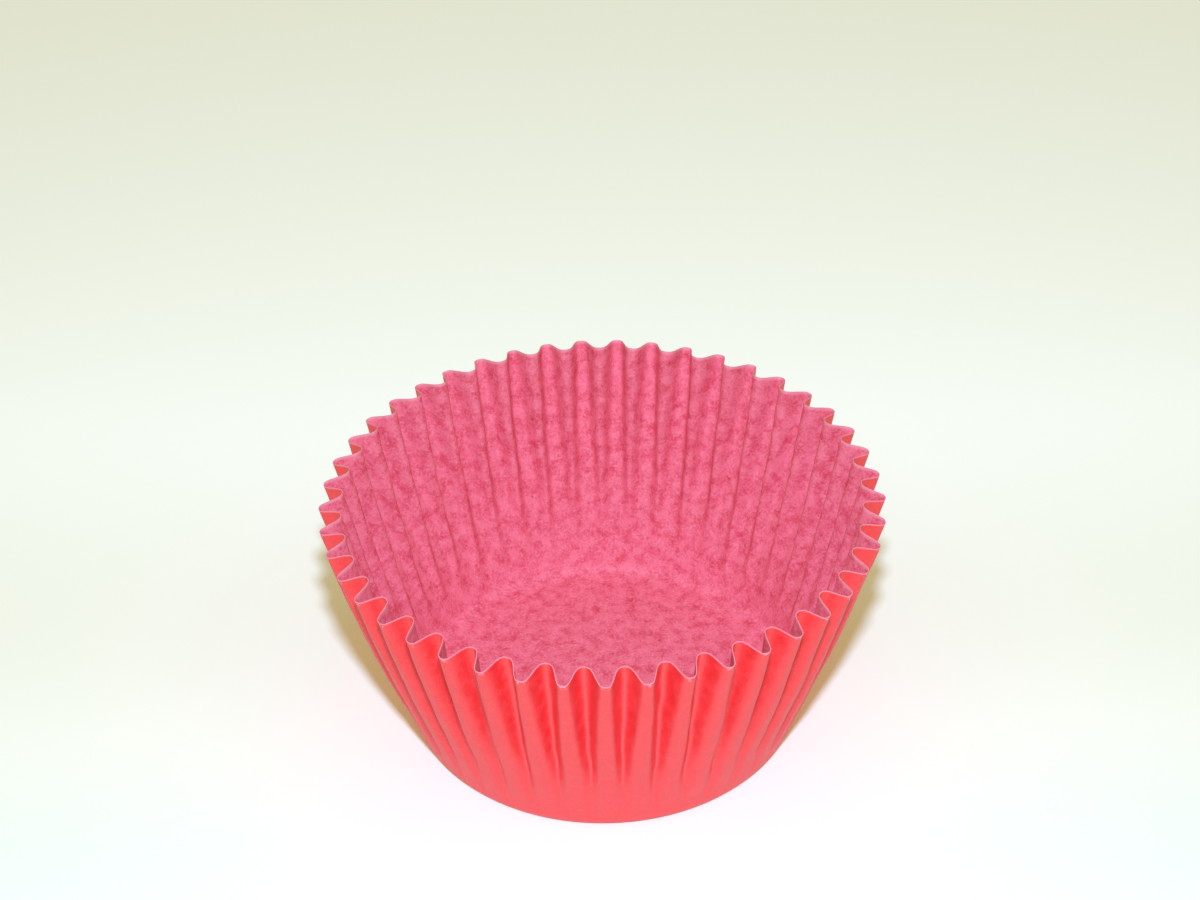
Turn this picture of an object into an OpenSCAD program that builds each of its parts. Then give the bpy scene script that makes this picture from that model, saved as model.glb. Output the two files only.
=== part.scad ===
// Pleated paper cupcake liner.
// One round sheet of greaseproof paper, pressed between fluted dies. The middle of the sheet stays
// flat as the base. The rest stands up as a flared wall, and because the sheet is too long round its
// edge for the smaller circle that it now follows, the spare paper is taken up by pleats. Their depth
// is worked out from that spare length, so a different base, flare, height or pleat count gives the
// pleats that the same sheet of paper would have.

/* [Paper] */
// Thickness of the paper
paper_t = 0.07; // [0.05:0.01:0.2]

/* [Base] */
// Diameter of the base, out to where the line of the wall meets it
base_d = 51.2; // [40:0.2:62]
// Radius of the bend from the base up into the wall
corner_r = 1.4; // [0.6:0.1:3]

/* [Wall] */
// Height of the rim, at the middle of the pleats
wall_h = 33; // [24:0.5:44]
// Diameter of the rim, at the middle of the pleats
rim_d = 69; // [58:0.2:84]
// Lean of the wall from the vertical where it leaves the bend. It bows from there to the rim
foot_lean = 17.5; // [14:0.5:26]

/* [Pleats] */
// Number of pleats round the wall
pleat_count = 45; // [36:1:54]
// Bend radius of the paper at an outward ridge, at the rim
ridge_r = 0.8; // [0.6:0.05:1.1]
// Bend radius of the paper at an inward fold, at the rim
fold_r = 1.1; // [0.6:0.05:1.2]
// Share of that radius that a fold has at the foot of the wall, where the paper is pressed tighter
fold_tight = 0.4; // [0.3:0.05:1]
// Share of a ridge's width that lies flat at the foot of the wall. It fades to none at the rim
flat_share = 0.45; // [0:0.05:0.7]
// Length of wall above the bend over which the pleats come up to their full depth
grow_l = 19; // [8:0.5:26]

/* [Hidden] */

paper_red = [0.93, 0.22, 0.22];

mid_z = paper_t / 2;
base_r = base_d / 2;
rim_r = rim_d / 2;

// Along a line up the liner, the paper runs flat from the centre to flat_r, turns through corner_turn
// in the bend, and then bows up the wall to the rim, turning through bow_turn on the way.
corner_turn = 90 - foot_lean;
flat_r = base_r - corner_r * tan(corner_turn / 2);
corner_l = corner_r * corner_turn * PI / 180;
foot_of_wall = [flat_r + corner_r * sin(corner_turn), mid_z + corner_r * (1 - cos(corner_turn))];
wall_chord = [rim_r, wall_h] - foot_of_wall;
bow_turn = 2 * (atan2(wall_chord[1], wall_chord[0]) - corner_turn);
wall_l = norm(wall_chord) / chord_share(bow_turn);

// Chord of an arc as a share of its length, for an arc that turns through an angle.
function chord_share(turn) = turn == 0 ? 1 : sin(turn / 2) / (turn / 2 * PI / 180);

// Width of the flat ring at the foot of the pleated wall, and how much of it the base disc overlaps.
foot_w = 2;
foot_lap = 1;

// Places of the rings of points: along the bend as shares of its turn, then up the wall as shares of
// its length. The pleats change fastest low down, so the rings are closer there.
corner_steps = [0, 0.5, 1];
wall_steps = [0.1, 0.24, 0.42, 0.68, 1];

// Points across half a pleat: the middle of the ridge, places along the ridge's bend and along the
// fold's bend, as shares of each bend's width, and the middle of the fold.
ridge_marks = [0.6, 1];
fold_marks = [0.6, 1];

// Points on a ring for each pleat. The bend round the base is a plain circle, which needs fewer than
// the wall, and the foot's edge inside it needs the fewest.
wall_points = 2 * (len(ridge_marks) + len(fold_marks) + 1);
corner_points = 2;
foot_points = 1;

// Most of the width beside the flat of a ridge that the bends of the ridge and the fold may fill.
bend_room = 0.95;

// One ring of the wall's middle line: [radius, height, paper from the sheet's centre, slope of the
// paper from the horizontal, share of the spare paper that the pleats take up, share of a ridge's
// width that lies flat, points for each pleat, share of fold_r that a fold has].
function flat_ring(radius) = [radius, mid_z, radius, 0, 0, 0, foot_points, fold_tight];

function corner_ring(share) =
    let (turn = share * corner_turn)
    [flat_r + corner_r * sin(turn),
     mid_z + corner_r * (1 - cos(turn)),
     flat_r + share * corner_l,
     turn,
     0,
     0,
     corner_points,
     fold_tight];

function wall_ring(share) =
    let (along = share * wall_l,
         turn = share * bow_turn,
         chord = along * chord_share(turn),
         lift = corner_turn + turn / 2)
    [foot_of_wall[0] + chord * cos(lift),
     foot_of_wall[1] + chord * sin(lift),
     flat_r + corner_l + along,
     corner_turn + turn,
     pleat_growth(along / grow_l),
     flat_share * (1 - share),
     wall_points,
     fold_tight + (1 - fold_tight) * share * share];

// From 0 at the bend to 1 at grow_l and beyond, slow at both ends.
function pleat_growth(x) = let (c = min(x, 1)) c * c * (3 - 2 * c);

rings = concat([flat_ring(flat_r - foot_w)],
               [for (share = corner_steps) corner_ring(share)],
               [for (share = wall_steps) wall_ring(share)]);
ring_count = len(rings);

// How many points a ring has, and how many come before it on its side of the paper.
function ring_size(k) = pleat_count * rings[k][6];
function ring_start(k) = k == 0 ? 0 : ring_start(k - 1) + ring_size(k - 1);

// Angle of the straight flank of a pleat from the line of the wall. Beside the flat of the ridge, half
// a pleat is an arc, a straight flank and an arc at the fold. Its paper there is paper long and it
// spans span. The steeper the flank, the less it spans, so the angle is found by halving.
function flank_angle(span, paper, bends, low = 0, high = 88, tries = 24) =
    let (angle = (low + high) / 2,
         reach = bends * (sin(angle) - angle * PI / 180 * cos(angle)) + paper * cos(angle))
    tries == 0 ? angle
    : reach > span ? flank_angle(span, paper, bends, angle, high, tries - 1)
    : flank_angle(span, paper, bends, low, angle, tries - 1);

// The section of a pleat on one ring: [half its span, half the flat of its ridge, flank angle, ridge
// radius, fold radius, depth].
function pleat_section(ring) =
    let (half_span = PI * ring[0] / pleat_count,
         flat = half_span * ring[5],
         span = half_span - flat,
         spare = PI * (ring[2] - ring[0]) / pleat_count * ring[4],
         open_fold = fold_r * ring[7],
         size = min(ring[0] / rim_r, bend_room * span / (ridge_r + open_fold)),
         ridge = ridge_r * size,
         fold = open_fold * size,
         angle = spare > 0 ? flank_angle(span, span + spare, ridge + fold) : 0,
         flank = span + spare - (ridge + fold) * angle * PI / 180)
    [half_span, flat, angle, ridge, fold, (ridge + fold) * (1 - cos(angle)) + flank * sin(angle)];

// How far one face of the paper stands out from the wall's middle line, at a place x along half a
// pleat. side is 1 for the outer face and -1 for the inner one.
function stand_out(section, x, side) =
    let (half_span = section[0],
         flat = section[1],
         angle = section[2],
         ridge = section[3] + side * paper_t / 2,
         fold = section[4] - side * paper_t / 2,
         ridge_centre = section[5] / 2 - section[3],
         fold_centre = section[4] - section[5] / 2,
         past_flat = x - flat,
         from_fold = half_span - x)
    angle == 0 ? side * paper_t / 2
    : past_flat < 0 ? ridge_centre + ridge
    : past_flat < ridge * sin(angle) ? ridge_centre + sqrt(ridge * ridge - past_flat * past_flat)
    : from_fold < fold * sin(angle) ? fold_centre - sqrt(fold * fold - from_fold * from_fold)
    : ridge_centre + ridge / cos(angle) - past_flat * tan(angle);

// Where the points of half a pleat stand on one ring, from the middle of the ridge.
function half_pleat_marks(section) =
    let (ridge_w = section[3] * sin(section[2]),
         fold_w = section[4] * sin(section[2]))
    concat([0],
           [for (mark = ridge_marks) section[1] + mark * ridge_w],
           [for (k = [len(fold_marks) - 1:-1:0]) section[0] - fold_marks[k] * fold_w],
           [section[0]]);

// The same for a whole pleat, from one ridge to just before the next.
function pleat_marks(section, points) =
    points == foot_points ? [0]
    : points == corner_points ? [0, section[0]]
    : let (marks = half_pleat_marks(section), last = len(marks) - 1)
      concat(marks, [for (k = [last - 1:-1:1]) 2 * section[0] - marks[k]]);

// A point of a ring, at a place x across a pleat. The pleats stand square to the wall, so a ridge ends
// a little lower at the rim than a fold does. The first ridge faces the front, -Y.
function ring_point(ring, section, pleat, x, side) =
    let (out = stand_out(section, min(x, 2 * section[0] - x), side),
         angle = (pleat + x / (2 * section[0])) * 360 / pleat_count - 90,
         r = ring[0] + out * sin(ring[3]),
         z = ring[1] - out * cos(ring[3]))
    [r * cos(angle), r * sin(angle), z];

function skin_points(side) =
    [for (ring = rings) let (section = pleat_section(ring))
        for (pleat = [0:pleat_count - 1], x = pleat_marks(section, ring[6]))
            ring_point(ring, section, pleat, x, side)];

// A face as it is, or turned round for the side of the paper that looks into the cup.
function turned(face, flip) = flip ? [for (k = [len(face) - 1:-1:0]) face[k]] : face;

// Faces between two rings whose points start at low and at high. Each stretch of the lower ring has
// one face of its own, and a fan from one of its ends to the stretches of the higher ring above it.
// The fans start at alternate ends, so that the two halves of a pleat mirror each other.
function band(low, low_count, high, high_count, flip) =
    let (share = high_count / low_count)
    [for (i = [0:low_count - 1])
        let (here = low + i,
             next = low + (i + 1) % low_count,
             above = [for (k = [0:share]) high + (i * share + k) % high_count],
             fan = i % 2 == 0 ? here : next,
             corner = i % 2 == 0 ? above[share] : above[0])
        for (face = [[here, corner, next], for (k = [0:share - 1]) [fan, above[k], above[k + 1]]])
            turned(face, flip)];

// Faces of one side of the paper, from the foot up to the rim. Its points start at first.
function skin_faces(first, flip) =
    [for (k = [0:ring_count - 2])
        each band(first + ring_start(k), ring_size(k), first + ring_start(k + 1), ring_size(k + 1), flip)];

// The flared wall with its pleats, out from a narrow flat ring at its foot.
module pleated_wall() {
    skin = ring_start(ring_count);
    foot_size = ring_size(0);
    rim = ring_start(ring_count - 1);
    rim_size = ring_size(ring_count - 1);
    polyhedron(
        points = concat(skin_points(1), skin_points(-1)),
        faces = concat(
            skin_faces(0, false),
            band(rim, rim_size, skin + rim, rim_size, false),
            skin_faces(skin, true),
            band(skin, foot_size, 0, foot_size, false)),
        convexity = 10);
}

// The flat middle of the sheet.
module base_disc() {
    cylinder(r = flat_r - foot_w + foot_lap, h = paper_t, $fn = 2 * pleat_count);
}

module liner() {
    color(paper_red) union() {
        base_disc();
        pleated_wall();
    }
}

liner();
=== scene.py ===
import bpy
import numpy as np
from mathutils import Matrix


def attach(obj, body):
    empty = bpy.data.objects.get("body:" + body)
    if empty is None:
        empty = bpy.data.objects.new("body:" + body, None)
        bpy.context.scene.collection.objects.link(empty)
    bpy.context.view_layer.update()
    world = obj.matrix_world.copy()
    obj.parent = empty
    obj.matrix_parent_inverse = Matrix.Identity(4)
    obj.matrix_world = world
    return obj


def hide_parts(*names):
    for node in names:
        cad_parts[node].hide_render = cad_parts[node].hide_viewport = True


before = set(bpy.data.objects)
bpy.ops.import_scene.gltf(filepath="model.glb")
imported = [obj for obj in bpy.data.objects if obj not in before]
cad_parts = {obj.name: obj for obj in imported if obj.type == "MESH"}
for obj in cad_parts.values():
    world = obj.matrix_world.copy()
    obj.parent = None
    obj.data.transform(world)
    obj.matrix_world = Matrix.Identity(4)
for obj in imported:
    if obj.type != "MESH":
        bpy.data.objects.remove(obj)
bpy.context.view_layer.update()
scene = bpy.context.scene
scene.view_settings.view_transform = "Standard"


# The camera stands in front of the liner and looks down on it, as a person at a table would. Its place,
# dip, slight roll and lens come from a fit to the rim, the base and the fold points in the photograph.
camera_place = (-0.00013, -0.23557, 0.20933)
camera_dip = np.radians(35.7)
camera_roll = np.radians(-1.0)
focal_pixels = 2313.5
photo_width = 1200
sensor_width = 36.0

camera_data = bpy.data.cameras.new("camera")
camera_data.sensor_width = sensor_width
camera_data.lens = sensor_width * focal_pixels / photo_width
camera = bpy.data.objects.new("camera", camera_data)
camera.location = camera_place
camera_turn = Matrix.Rotation(np.pi / 2 - camera_dip, 3, "X") @ Matrix.Rotation(camera_roll, 3, "Z")
camera.rotation_euler = camera_turn.to_euler()
scene.collection.objects.link(camera)
scene.camera = camera


# The table is a plain sheet of matt white card. The lamp reaches the far side of it less, and there the
# card's own glow, which only the camera and reflections see, lifts it to the pale warm grey of the room.
table_size = 3.0
card_colour = (0.95, 0.95, 0.95, 1)
card_roughness = 0.9
card_shine = 0.1
front_ends_y, middle_starts_y = -0.034, -0.005
middle_ends_y, far_starts_y = 0.006, 0.070
beyond_starts, beyond_full = 0.25, 0.45
glow_front = (0.0, 0.065, 0.005, 1)
glow_middle = (0.085, 0.115, 0.05, 1)
glow_far = (0.215, 0.27, 0.273, 1)
glow_beyond = (0.38, 0.46, 0.52, 1)


def plain_sheet(name, size):
    """A square flat sheet in the plane z = 0, with its middle at the origin."""
    half = size / 2
    corners = [(-half, -half, 0), (half, -half, 0), (half, half, 0), (-half, half, 0)]
    mesh = bpy.data.meshes.new(name)
    mesh.from_pydata(corners, [], [(0, 1, 2, 3)])
    sheet = bpy.data.objects.new(name, mesh)
    scene.collection.objects.link(sheet)
    return sheet


def new_material(name):
    """An empty node material, its node tree and its output node."""
    material = bpy.data.materials.new(name)
    material.use_nodes = True
    material.node_tree.nodes.clear()
    return material, material.node_tree, material.node_tree.nodes.new("ShaderNodeOutputMaterial")


def new_node(tree, kind, values, **settings):
    """A node of one kind with its settings. Each value goes into the input of that name or number, as a
    plain value or as a link from another node's socket."""
    node = tree.nodes.new(kind)
    for name, setting in settings.items():
        setattr(node, name, setting)
    for name, value in values.items():
        if isinstance(value, bpy.types.NodeSocket):
            tree.links.new(value, node.inputs[name])
        else:
            node.inputs[name].default_value = value
    return node


def reckon(tree, operation, first, second=0.0):
    """One sum of two numbers, by a Math node."""
    return new_node(tree, "ShaderNodeMath", {0: first, 1: second}, operation=operation).outputs[0]


def ease(tree, value, low, high, start=0.0, end=1.0):
    """A number that goes smoothly from start to end while value goes from low to high."""
    values = {"Value": value, "From Min": low, "From Max": high, "To Min": start, "To Max": end}
    return new_node(tree, "ShaderNodeMapRange", values, interpolation_type="SMOOTHSTEP").outputs["Result"]


def blend(tree, share, first, second):
    """A colour between first and second."""
    values = {"Factor": share, "A": first, "B": second}
    return new_node(tree, "ShaderNodeMix", values, data_type="RGBA").outputs["Result"]


def card_material():
    """Matt card with a glow, which goes from front to middle to far along Y, and far out goes to that of
    the table beyond. The camera and reflections alone see the glow."""
    material, tree, output = new_material("white_card")
    place = new_node(tree, "ShaderNodeTexCoord", {}).outputs["Object"]
    along = new_node(tree, "ShaderNodeSeparateXYZ", {"Vector": place}).outputs["Y"]
    away = new_node(tree, "ShaderNodeVectorMath", {0: place}, operation="LENGTH").outputs["Value"]
    glow = blend(tree, ease(tree, along, front_ends_y, middle_starts_y), glow_front, glow_middle)
    glow = blend(tree, ease(tree, along, middle_ends_y, far_starts_y), glow, glow_far)
    glow = blend(tree, ease(tree, away, beyond_starts, beyond_full), glow, glow_beyond)
    ray = new_node(tree, "ShaderNodeLightPath", {})
    seen = reckon(tree, "MAXIMUM", ray.outputs["Is Camera Ray"], ray.outputs["Is Glossy Ray"])
    seen = reckon(tree, "MAXIMUM", seen, ray.outputs["Is Transmission Ray"])
    light = new_node(tree, "ShaderNodeEmission", {"Color": glow, "Strength": seen})
    finish = {"Base Color": card_colour, "Roughness": card_roughness, "Specular IOR Level": card_shine}
    card = new_node(tree, "ShaderNodeBsdfPrincipled", finish)
    both = new_node(tree, "ShaderNodeAddShader", {0: card.outputs["BSDF"], 1: light.outputs["Emission"]})
    tree.links.new(both.outputs["Shader"], output.inputs["Surface"])
    return material


table = plain_sheet("table", table_size)
table.data.materials.append(card_material())


# The light is one small lamp just above the camera, which throws the liner's shadow back along the table,
# and an even warm light from the whole room that fills the shadow.
lamp_place = np.array([0.002, -0.20, 0.235])
lamp_size = 0.016
lamp_power = 1.065
lamp_colour = (0.55, 0.69, 0.92)
lamp_aim = np.array([0.0, 0.0, 0.01])
room_colour = (1.0, 0.85, 0.40, 1)
room_strength = 0.46

lamp_data = bpy.data.lights.new("lamp", "AREA")
lamp_data.shape = "DISK"
lamp_data.size = lamp_size
lamp_data.energy = lamp_power
lamp_data.color = lamp_colour
lamp = bpy.data.objects.new("lamp", lamp_data)
lamp.location = lamp_place
lamp_dip = np.arctan2(lamp_place[2] - lamp_aim[2], lamp_aim[1] - lamp_place[1])
lamp.rotation_euler = (np.pi / 2 - lamp_dip, 0, 0)
scene.collection.objects.link(lamp)

room = bpy.data.worlds.new("room")
room.use_nodes = True
scene.world = room
room_light = room.node_tree.nodes["Background"]
room_light.inputs["Color"].default_value = room_colour
room_light.inputs["Strength"].default_value = room_strength


# The liner is one round sheet of greaseproof paper, pressed between fluted dies. Its middle stays flat as
# the base, and the rest stands up as a flared wall whose spare paper is gathered in pleats.
pleat_count = 45
paper_t = 0.07e-3
base_r = 25.6e-3
corner_r = 1.4e-3
wall_h = 33e-3
rim_r = 34.5e-3
foot_lean = np.radians(17.5)

# Bend radii of the paper at a ridge and at a fold, at the rim. A fold has the share fold_tight of its
# radius at the foot, and there the share flat_share of a ridge's width lies flat. The bends fill no more
# than bend_room of the width beside that flat. Pleats grow to their full depth over grow_l above the bend.
ridge_bend = 0.8e-3
fold_bend = 1.1e-3
fold_tight = 0.4
bend_room = 0.95
flat_share = 0.45
grow_l = 19e-3

# Along a line up the liner, the paper runs flat from the centre to flat_r, turns through corner_turn in
# the bend, and then bows up the wall to the rim, turning through bow_turn on the way.
mid_z = paper_t / 2
corner_turn = np.pi / 2 - foot_lean
flat_r = base_r - corner_r * np.tan(corner_turn / 2)
corner_l = corner_r * corner_turn
foot_of_wall = (flat_r + corner_r * np.sin(corner_turn), mid_z + corner_r * (1 - np.cos(corner_turn)))
chord_r, chord_z = rim_r - foot_of_wall[0], wall_h - foot_of_wall[1]
bow_turn = 2 * (np.arctan2(chord_z, chord_r) - corner_turn)
wall_l = np.hypot(chord_r, chord_z) / np.sinc(bow_turn / 2 / np.pi)
sheet_r = flat_r + corner_l + wall_l

# Rows of points lie at set distances from the sheet's centre: over the base, round the bend and up the
# wall. Columns run from each ridge to its fold and on to the next ridge, half_steps to a half pleat.
base_places = np.array([0.10, 0.25, 0.42, 0.58, 0.72, 0.84, 0.93, 1.0])
corner_places = np.array([0.33, 0.67, 1.0])
base_rows = flat_r * base_places
corner_rows = flat_r + corner_l * corner_places
wall_row_count = 34
wall_rows = flat_r + corner_l + wall_l * np.arange(1, wall_row_count + 1) / wall_row_count
sheet_rows = np.concatenate([base_rows, corner_rows, wall_rows])
row_count = len(sheet_rows)
half_steps = 11
pleat_steps = 2 * half_steps
column_count = pleat_count * pleat_steps
column_pleat, column_step = np.divmod(np.arange(column_count), pleat_steps)
past_fold = column_step > half_steps
column_place = np.where(past_fold, pleat_steps - column_step, column_step) / half_steps
nearest_ridge = (column_pleat + past_fold) % pleat_count

# Which columns take up the flat, the ridge's bend, the flank and the fold's bend, as places from the
# ridge (0) to the fold (1). They overlap, so that the columns' spacing changes gently. Low down, where the
# pleats are still shallow, the spacing is even, and it gives way column_haste times as fast as they grow.
flat_columns = (0, 0.40)
ridge_columns = (0, 0.50)
flank_columns = (0.35, 0.80)
fold_columns = (0.70, 1.0)
column_haste = 3
steepest_flank = np.radians(89)
halvings = 40


def smooth_step(x):
    """0 below 0, 1 above 1, and 3x^2 - 2x^3 between."""
    x = np.clip(x, 0, 1)
    return x * x * (3 - 2 * x)


def ramp(x, low, high):
    """0 below low, 1 above high, and straight between."""
    return np.clip((x - low) / (high - low), 0, 1)


def wall_line(distance):
    """Radius, height and slope of the wall's middle line at a distance from the sheet's centre: flat, then
    an arc of corner_r that turns through corner_turn, then a long arc that turns through bow_turn."""
    bend = np.clip((distance - flat_r) / corner_r, 0, corner_turn)
    along = np.maximum(distance - flat_r - corner_l, 0)
    turn = bow_turn * along / wall_l
    chord = along * np.sinc(turn / 2 / np.pi)
    radius = np.minimum(distance, flat_r) + corner_r * np.sin(bend) + chord * np.cos(corner_turn + turn / 2)
    height = mid_z + corner_r * (1 - np.cos(bend)) + chord * np.sin(corner_turn + turn / 2)
    return radius, height, bend + turn


def flank_angle(span, paper, bends):
    """Angle of the straight flank between two arcs, at which the paper covers the span. It covers
    bends * (sin a - a cos a) + paper * cos a, and the angle is found by halving."""
    low = np.zeros_like(span)
    high = np.full_like(span, steepest_flank)
    for _ in range(halvings):
        angle = (low + high) / 2
        reach = bends * (np.sin(angle) - angle * np.cos(angle)) + paper * np.cos(angle)
        low = np.where(reach > span, angle, low)
        high = np.where(reach > span, high, angle)
    return (low + high) / 2


def pleat_profile(distance, place):
    """Where the paper of half a pleat lies on each row: how far along the half pleat, how far out from the
    wall's middle line, how much paper lies between it and the ridge, and the half pleat's span, paper and
    depth. From the ridge, the section is flat, an arc, a straight flank and an arc at the fold."""
    radius = wall_line(distance)[0]
    up = np.maximum(distance - flat_r - corner_l, 0)
    growth = smooth_step(up / grow_l)
    half_span = np.pi * radius / pleat_count
    flat = half_span * flat_share * (1 - up / wall_l) * (up > 0)
    span = half_span - flat
    paper = span + np.pi * (distance - radius) / pleat_count * growth
    open_fold = fold_bend * (fold_tight + (1 - fold_tight) * (up / wall_l) ** 2)
    size = np.minimum(radius / rim_r, bend_room * span / (ridge_bend + open_fold))
    ridge, fold = ridge_bend * size, open_fold * size
    angle = np.where(growth > 0, flank_angle(span, paper, ridge + fold), 0)
    flank = paper - (ridge + fold) * angle
    depth = (ridge + fold) * (1 - np.cos(angle)) + flank * np.sin(angle)
    bent = (flat * ramp(place, *flat_columns) + ridge * angle * ramp(place, *ridge_columns)
            + flank * ramp(place, *flank_columns) + fold * angle * ramp(place, *fold_columns))
    share = smooth_step(growth * column_haste)
    along = bent * share + (flat + paper) * place * (1 - share)
    past_flat = np.maximum(along - flat, 0)
    ridge_turn = np.minimum(past_flat / ridge, angle)
    fold_turn = np.minimum((flat + paper - along) / fold, angle)
    on_flank = np.clip(past_flat - ridge * angle, 0, flank)
    across = (np.minimum(along, flat) + ridge * np.sin(ridge_turn) + on_flank * np.cos(angle)
              + fold * (np.sin(angle) - np.sin(fold_turn)))
    out = (depth / 2 - ridge * (1 - np.cos(ridge_turn)) - on_flank * np.sin(angle)
           - fold * (np.cos(fold_turn) - np.cos(angle)))
    plain = growth == 0
    return np.where(plain, along, across), np.where(plain, 0, out), along, half_span, flat + paper, depth


distance = sheet_rows[:, None]
place = column_place[None, :]
across, out, along, half_span, half_paper, depth = pleat_profile(distance, place)
radius, height, slope = wall_line(distance)
up_wall = (sheet_rows - flat_r - corner_l) / wall_l

# Where every point lay on the flat round sheet before it was pressed.
paper_turn = np.where(past_fold[None, :], 2 * half_paper - along, along) / (2 * half_paper)
sheet_angle = (column_pleat[None, :] + paper_turn) * 2 * np.pi / pleat_count - np.pi / 2
sheet_x = distance * np.cos(sheet_angle)
sheet_y = distance * np.sin(sheet_angle)

# No two pleats of a real liner are quite alike. Each ridge and each fold wanders a little sideways and
# stands out a little more or less, most of all low down, and the wall is dented. The base lifts in gentle
# waves. The rim is cut a little uneven, and it rises to the back. Knots are the random values that a
# slow curve joins.
ridge_sway, ridge_knots = 0.10e-3, 6
fold_sway, fold_knots = 0.13e-3, 11
ridge_depth_knots, fold_depth_knots = 6, 9
uneven_rim = 0.05
uneven_foot, uneven_up_to = 0.28, 0.5
rim_lean_back, lean_fade = 0.4e-3, 1.5
rim_uneven, rim_knots, cut_fade = 0.16e-3, 14, 3
small_dent, small_dent_cell = 0.030e-3, 2.4e-3
broad_dent, broad_dent_cell = 0.055e-3, 6.1e-3
base_wave, base_wave_cell, wave_fade = 0.16e-3, 9e-3, 1.1

# The dents and the sway come in above the bend, over a sixth and a fifth of the wall's length.
dent_haste = 6
sway_haste = 5


def wander(random, heights, count, knots):
    """Slow random curves, one for each of count lines, between -1 and 1: random values at even heights,
    joined by smooth steps. heights runs from 0 to 1."""
    values = random.uniform(-1, 1, (knots + 1, count))
    at = np.clip(heights, 0, 1) * (knots - 1)
    low = np.floor(at).astype(int)
    part = smooth_step(at - low)[:, None]
    return values[low] * (1 - part) + values[low + 1] * part


def crumple(random, x, y, cell):
    """Smooth random hills between -1 and 1 over the flat sheet: random values on a square grid of the
    given cell, joined by smooth steps both ways."""
    lattice = 64
    values = random.uniform(-1, 1, (lattice, lattice))
    column, row = x / cell, y / cell
    i, j = np.floor(column).astype(int), np.floor(row).astype(int)
    u, v = smooth_step(column - i), smooth_step(row - j)
    i0, i1, j0, j1 = i % lattice, (i + 1) % lattice, j % lattice, (j + 1) % lattice
    return ((values[j0, i0] * (1 - u) + values[j0, i1] * u) * (1 - v)
            + (values[j1, i0] * (1 - u) + values[j1, i1] * u) * v)


random = np.random.default_rng(45)
to_fold = smooth_step(place)
ridge_side = wander(random, up_wall, pleat_count, ridge_knots)[:, nearest_ridge] * ridge_sway
fold_side = wander(random, up_wall, pleat_count, fold_knots)[:, column_pleat] * fold_sway
ridge_more = wander(random, up_wall, pleat_count, ridge_depth_knots)[:, nearest_ridge]
fold_more = wander(random, up_wall, pleat_count, fold_depth_knots)[:, column_pleat]
uneven = (uneven_rim + uneven_foot * (1 - smooth_step(up_wall / uneven_up_to)))[:, None]
out_ridge = depth / 2 * (1 + uneven * ridge_more)
out_fold = depth / 2 * (1 + uneven * fold_more)
out_share = np.where(depth > 0, out / np.maximum(depth, 1e-9) + 0.5, 0)
out = out_share * (out_ridge + out_fold) - np.where(depth > 0, out_fold, 0)

dents = (crumple(random, sheet_x, sheet_y, small_dent_cell) * small_dent
         + crumple(random, sheet_x, sheet_y, broad_dent_cell) * broad_dent)
out = out + dents * smooth_step(up_wall * dent_haste)[:, None]
side = ((1 - to_fold) * ridge_side + to_fold * fold_side) * smooth_step(up_wall * sway_haste)[:, None]

turned = np.where(past_fold[None, :], 2 * half_span - across, across) + side
angle = column_pleat[None, :] * 2 * np.pi / pleat_count + turned / radius - np.pi / 2

# The uneven cut is a slow curve once round the rim, tilted so that its two ends meet.
round_rim = np.arange(column_count) / (column_count - 1)
rim_lift = wander(random, round_rim, 1, rim_knots)[:, 0] * rim_uneven
rim_lift = rim_lift + (rim_lift[0] - rim_lift[-1]) * round_rim
risen = np.clip(up_wall, 0, 1)[:, None]
point_r = radius + out * np.sin(slope)
point_z = height - out * np.cos(slope) + rim_lift[None, :] * risen ** cut_fade
point_z = point_z + rim_lean_back * np.sin(angle) * risen ** lean_fade
base_lift = (crumple(random, sheet_x, sheet_y, base_wave_cell) + 1) / 2 * base_wave
point_z = point_z + base_lift * (1 - smooth_step(1 + (distance / flat_r - 1) * wave_fade))
middle = np.stack([point_r * np.cos(angle), point_r * np.sin(angle), point_z], axis=2)


def paper_faces(middle, thickness):
    """The two faces of the paper: the middle surface moved half a thickness each way along its normal. The
    normal is the cross product of the steps round and up, taken across both neighbours."""
    round_step = np.roll(middle, -1, axis=1) - np.roll(middle, 1, axis=1)
    up_step = np.gradient(middle, axis=0)
    normal = np.cross(round_step, up_step)
    normal /= np.linalg.norm(normal, axis=2, keepdims=True)
    return middle + normal * thickness / 2, middle - normal * thickness / 2


# The outer and the inner face of the paper are two grids of quads. A ring of narrow quads joins them at
# the cut edge, and a fan of triangles closes each of them at the centre of the base.
outer_face, inner_face = paper_faces(middle, paper_t)
centre_z = base_lift[0, 0]
grid_size = row_count * column_count
vertices = np.concatenate([outer_face.reshape(-1, 3), inner_face.reshape(-1, 3),
                           [[0, 0, centre_z], [0, 0, centre_z + paper_t]]])
index = np.arange(grid_size).reshape(row_count, column_count)
beside = np.roll(index, -1, axis=1)
outer_quads = np.stack([index[:-1], beside[:-1], beside[1:], index[1:]], axis=2).reshape(-1, 4)
inner_quads = outer_quads[:, ::-1] + grid_size
edge_quads = np.stack([index[-1], beside[-1], beside[-1] + grid_size, index[-1] + grid_size], axis=1)
outer_fan = np.stack([np.full(column_count, 2 * grid_size), beside[0], index[0]], axis=1)
inner_fan = np.stack([np.full(column_count, 2 * grid_size + 1), index[0] + grid_size,
                      beside[0] + grid_size], axis=1)

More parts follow.
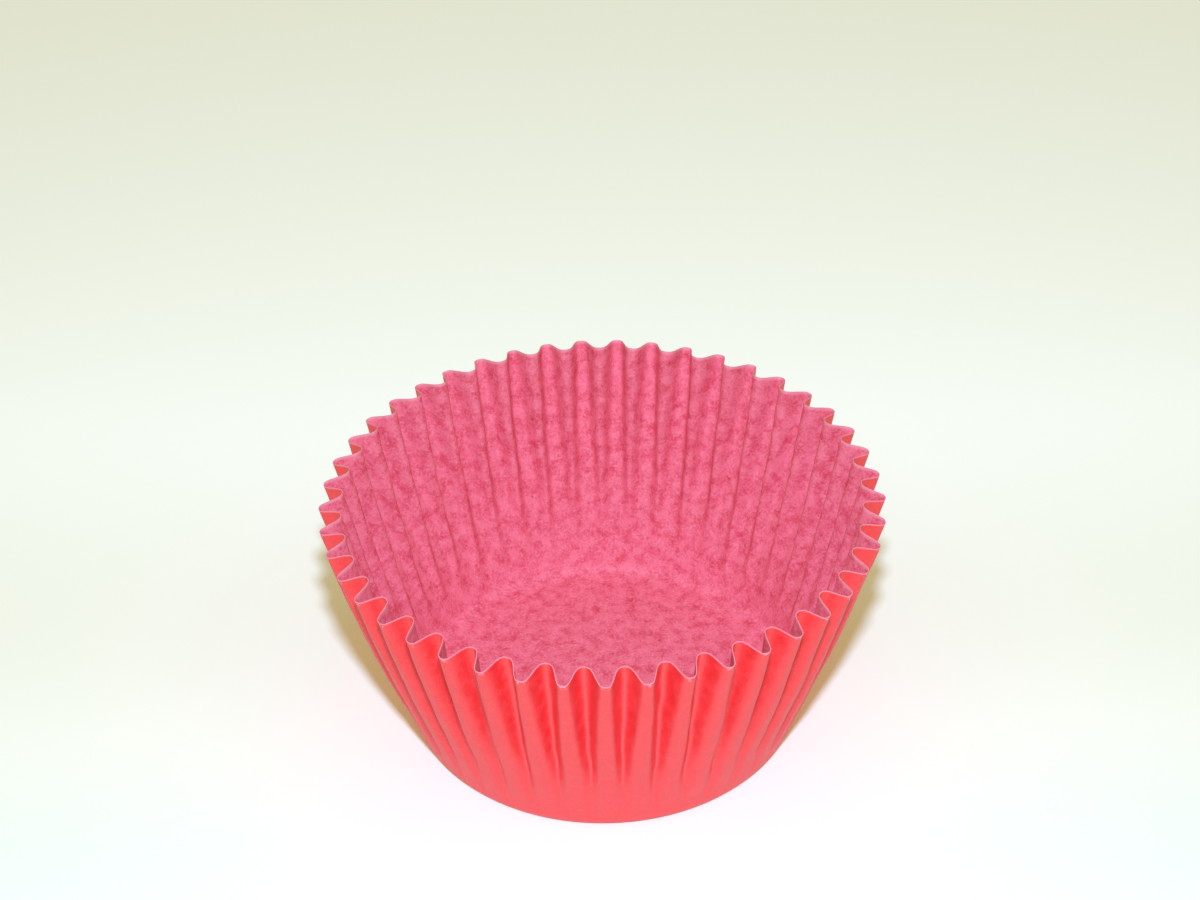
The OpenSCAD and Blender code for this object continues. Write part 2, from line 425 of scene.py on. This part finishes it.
mesh = bpy.data.meshes.new("paper_liner")
face_groups = [outer_quads, inner_quads, edge_quads, outer_fan, inner_fan]
face_slots = [0, 1, 2, 0, 1]
mesh.from_pydata(vertices.tolist(), [], [face for group in face_groups for face in group.tolist()])
slots = np.repeat(face_slots, [len(group) for group in face_groups])
mesh.polygons.foreach_set("material_index", slots.astype(np.int32))
mesh.polygons.foreach_set("use_smooth", np.ones(len(slots), bool))
edge_ends = np.empty(2 * len(mesh.edges), np.int32)
mesh.edges.foreach_get("vertices", edge_ends)
on_rim = (edge_ends < 2 * grid_size) & (edge_ends % grid_size >= grid_size - column_count)
same_face = edge_ends[0::2] // grid_size == edge_ends[1::2] // grid_size
mesh.edges.foreach_set("use_edge_sharp", on_rim[0::2] & on_rim[1::2] & same_face)

# The UV map is the flat sheet itself: its outer side as one disc and its inner side as another, corner to
# corner. The cut edge is a thin ring round the outer disc. The paper's grain is drawn on this map.
disc_r = 0.288
edge_ring_r = 0.2905
outer_centre = np.array([0.293, 0.293])
inner_centre = np.array([0.707, 0.707])
sheet_place = np.stack([sheet_x.ravel(), sheet_y.ravel()], axis=1) / sheet_r * disc_r
outer_map = sheet_place * (-1, 1) + outer_centre
inner_map = sheet_place + inner_centre
point_map = np.concatenate([outer_map, inner_map, [outer_centre, inner_centre]])
corner_map = point_map[np.concatenate([group.ravel() for group in face_groups])]
edge_start = outer_quads.size + inner_quads.size
edge_out = (outer_map[index[-1]] - outer_centre) * edge_ring_r / disc_r + outer_centre
edge_map = np.stack([outer_map[index[-1]], outer_map[beside[-1]],
                     np.roll(edge_out, -1, axis=0), edge_out], axis=1).reshape(-1, 2)
corner_map[edge_start:edge_start + edge_quads.size] = edge_map
sheet_map = mesh.uv_layers.new(name="OFBake")
sheet_map.data.foreach_set("uv", corner_map.ravel().astype(np.float32))


def point_value(name, values):
    """One number for each point of the grid, the same on both faces of the paper, as an attribute."""
    layer = mesh.attributes.new(name, "FLOAT", "POINT")
    both = np.concatenate([values.ravel(), values.ravel(), values[0, :1], values[0, :1]])
    layer.data.foreach_set("value", both.astype(np.float32))


# How far each point lies from the rim, from its fold and from its ridge, in millimetres of paper.
whole = np.ones((1, column_count))
point_value("from_rim", (sheet_r - distance) * 1e3 * whole)
point_value("from_fold", np.where(up_wall[:, None] > 0, half_paper - along, half_paper) * 1e3)
point_value("from_ridge", along * 1e3)

liner = bpy.data.objects.new("paper_liner", mesh)
scene.collection.objects.link(liner)

# Greaseproof paper is beaten wood fibre. It shows pale fibres that lie every way, faint clouds where the
# pulp is thicker, and a fine grain that both faces share.
map_to_mm = sheet_r * 1e3 / disc_r
fibre_turns = np.radians([8, 55, 97, 151])
fibre_edge = 0.16
clouds_per_mm = 0.55
grains_per_mm = 2.6


def fibre_group():
    """Group: noise stretched along four directions and cut to its peaks gives the fibres, with an edge
    that is fibre_edge wide, and plain noise at two scales gives the clouds and the grain. Place is in
    millimetres on the sheet."""
    group = bpy.data.node_groups.new("pressed_paper_fibres", "ShaderNodeTree")
    for name, kind in (("Place", "NodeSocketVector"), ("Fibre Length", "NodeSocketFloat"),
                       ("Fibre Width", "NodeSocketFloat"), ("Bareness", "NodeSocketFloat")):
        group.interface.new_socket(name=name, in_out="INPUT", socket_type=kind)
    for name in ("Fibres", "Clouds", "Grain"):
        group.interface.new_socket(name=name, in_out="OUTPUT", socket_type="NodeSocketFloat")
    given = group.nodes.new("NodeGroupInput").outputs
    output = group.nodes.new("NodeGroupOutput")
    size = new_node(group, "ShaderNodeCombineXYZ",
                    {"X": given["Fibre Length"], "Y": given["Fibre Width"], "Z": 1.0}).outputs["Vector"]
    fibres = 0.0
    for turn in fibre_turns:
        turned_place = new_node(group, "ShaderNodeVectorRotate", {"Vector": given["Place"], "Angle": turn},
                                rotation_type="Z_AXIS").outputs["Vector"]
        stretched = new_node(group, "ShaderNodeVectorMath", {0: turned_place, 1: size},
                             operation="DIVIDE").outputs["Vector"]
        noise = new_node(group, "ShaderNodeTexNoise",
                         {"Vector": stretched, "Scale": 1.0, "Detail": 1.0})
        peak = ease(group, noise.outputs["Fac"], given["Bareness"],
                    reckon(group, "ADD", given["Bareness"], fibre_edge))
        fibres = reckon(group, "MAXIMUM", peak, fibres)
    clouds = new_node(group, "ShaderNodeTexNoise",
                      {"Vector": given["Place"], "Scale": clouds_per_mm, "Detail": 3.0, "Roughness": 0.6})
    grain = new_node(group, "ShaderNodeTexNoise",
                     {"Vector": given["Place"], "Scale": grains_per_mm, "Detail": 2.0, "Roughness": 0.6})
    group.links.new(fibres, output.inputs["Fibres"])
    group.links.new(clouds.outputs["Fac"], output.inputs["Clouds"])
    group.links.new(grain.outputs["Fac"], output.inputs["Grain"])
    return group


fibre_nodes = fibre_group()


def paper_tree(name, length, width, bareness):
    """A material with its shader and the fibre group, fed by the sheet's own map in millimetres. length and
    width are those of a fibre, and the higher the bareness, the fewer the fibres."""
    material, tree, output = new_material(name)
    sheet = new_node(tree, "ShaderNodeUVMap", {}, uv_map="OFBake").outputs["UV"]
    place = new_node(tree, "ShaderNodeVectorMath", {0: sheet, "Scale": map_to_mm}, operation="SCALE")
    fibres = new_node(tree, "ShaderNodeGroup", {}, node_tree=fibre_nodes)
    tree.links.new(place.outputs["Vector"], fibres.inputs["Place"])
    fibres.inputs["Fibre Length"].default_value = length
    fibres.inputs["Fibre Width"].default_value = width
    fibres.inputs["Bareness"].default_value = bareness
    shader = new_node(tree, "ShaderNodeBsdfPrincipled", {})
    tree.links.new(shader.outputs["BSDF"], output.inputs["Surface"])
    return material, tree, shader, fibres.outputs


def attribute(tree, name):
    """One of the liner's own measures, stored at its points."""
    return new_node(tree, "ShaderNodeAttribute", {}, attribute_name=name).outputs["Fac"]


def roughen(tree, shader, paper, distance):
    """Bump from the raised fibres and grain, at its real depth in metres."""
    height = reckon(tree, "ADD", reckon(tree, "MULTIPLY", paper["Fibres"], 0.5),
                    reckon(tree, "MULTIPLY", paper["Grain"], 0.7))
    bump = new_node(tree, "ShaderNodeBump", {"Height": height, "Distance": distance, "Strength": 1.0})
    tree.links.new(bump.outputs["Normal"], shader.inputs["Normal"])


# The outer side is printed a strong red. Pale fibres show through the ink, and it is rubbed paler along the
# folds, at the tips of the ridges and next to the cut edge. The paler folds are partly wear and partly a
# painted highlight of the crease, strongest near the rim. Lengths are in millimetres of paper.
ink_red = (0.83, 0.009, 0.013, 1)
ink_thin = (0.90, 0.028, 0.034, 1)
fibre_pale = (0.92, 0.15, 0.17, 1)
edge_pink = (0.90, 0.30, 0.38, 1)
red_fibre_share = 0.20
red_shine = 1.0
red_relief = 0.018e-3
fold_wear_and_highlight_reach = (0.05, 0.30)
fold_wear_and_highlight_ends = (20.0, 27.0)
tip_wide = (0.2, 0.8)
tip_tall = (0.1, 1.0)
red_rim_line = (0.08, 0.22)


def red_face():
    """Red ink in clouds, then fibres, the folds paled by wear and by a painted crease highlight, then the
    rubbed tips and rim, each over the last.
    """
    material, tree, shader, paper = paper_tree("red_face", 1.2, 0.22, 0.60)
    colour = blend(tree, ease(tree, paper["Clouds"], 0.35, 0.70), ink_red, ink_thin)
    colour = blend(tree, reckon(tree, "MULTIPLY", paper["Fibres"], red_fibre_share), colour, fibre_pale)
    from_rim = attribute(tree, "from_rim")
    # The folds are paled, partly as wear and partly as a painted highlight of the crease, less so away from
    # the rim.
    fold_wear_and_highlight = ease(tree, attribute(tree, "from_fold"), *fold_wear_and_highlight_reach, 1.0, 0.0)
    fold_wear_and_highlight = reckon(tree, "MULTIPLY", fold_wear_and_highlight, ease(tree, paper["Grain"], 0.35, 0.65, 0.1, 0.35))
    fold_wear_and_highlight = reckon(tree, "MULTIPLY", fold_wear_and_highlight, ease(tree, from_rim, *fold_wear_and_highlight_ends, 1.0, 0.2))
    colour = blend(tree, fold_wear_and_highlight, colour, fibre_pale)
    tip = reckon(tree, "MULTIPLY", ease(tree, attribute(tree, "from_ridge"), *tip_wide, 1.0, 0.0),
                 ease(tree, from_rim, *tip_tall, 1.0, 0.0))
    tip = reckon(tree, "MULTIPLY", tip, ease(tree, paper["Grain"], 0.48, 0.60))
    line = ease(tree, from_rim, *red_rim_line, 0.6, 0.0)
    colour = blend(tree, reckon(tree, "MAXIMUM", tip, line), colour, edge_pink)
    tree.links.new(colour, shader.inputs["Base Color"])
    tree.links.new(ease(tree, paper["Clouds"], 0.3, 0.7, 0.46, 0.58), shader.inputs["Roughness"])
    shader.inputs["Specular IOR Level"].default_value = red_shine
    roughen(tree, shader, paper, red_relief)
    return material


# The inner side carries no ink of its own. The red shows through it as a mottled pink, deepest where the
# pulp is thin, and it is paler next to the cut edge.
soaked_pink = (0.68, 0.055, 0.105, 1)
plain_pink = (0.90, 0.20, 0.29, 1)
bare_pink = (0.95, 0.42, 0.52, 1)
cloud_share, grain_share = 0.65, 0.35
pink_fibre_share = 0.30
pink_shine = 0.4
pink_relief = 0.025e-3
pink_rim_line = (0.10, 0.60)


def pink_face():
    """Pink in blotches of cloud and grain, then fibres and the paler rim, each over the last."""
    material, tree, shader, paper = paper_tree("pink_face", 0.8, 0.30, 0.58)
    mottle = reckon(tree, "ADD", reckon(tree, "MULTIPLY", paper["Clouds"], cloud_share),
                    reckon(tree, "MULTIPLY", paper["Grain"], grain_share))
    colour = blend(tree, ease(tree, mottle, 0.30, 0.62), soaked_pink, plain_pink)
    colour = blend(tree, reckon(tree, "MULTIPLY", paper["Fibres"], pink_fibre_share), colour, bare_pink)
    line = ease(tree, attribute(tree, "from_rim"), *pink_rim_line, 0.6, 0.0)
    colour = blend(tree, line, colour, bare_pink)
    tree.links.new(colour, shader.inputs["Base Color"])
    tree.links.new(ease(tree, paper["Clouds"], 0.3, 0.7, 0.55, 0.70), shader.inputs["Roughness"])
    shader.inputs["Specular IOR Level"].default_value = pink_shine
    roughen(tree, shader, paper, pink_relief)
    return material


# The cut edge shows the paper's own pale pink pulp.
pulp_pink = (0.90, 0.42, 0.50, 1)
pulp_deep = (0.84, 0.22, 0.30, 1)


def cut_edge():
    """Plain matt pulp, which the grain makes uneven."""
    material, tree, shader, paper = paper_tree("cut_edge", 0.8, 0.2, 0.5)
    tree.links.new(blend(tree, paper["Grain"], pulp_deep, pulp_pink), shader.inputs["Base Color"])
    tree.links.new(ease(tree, paper["Grain"], 0.3, 0.7, 0.7, 0.85), shader.inputs["Roughness"])
    return material


for make_material in (red_face, pink_face, cut_edge):
    mesh.materials.append(make_material())
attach(liner, "root")
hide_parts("liner")
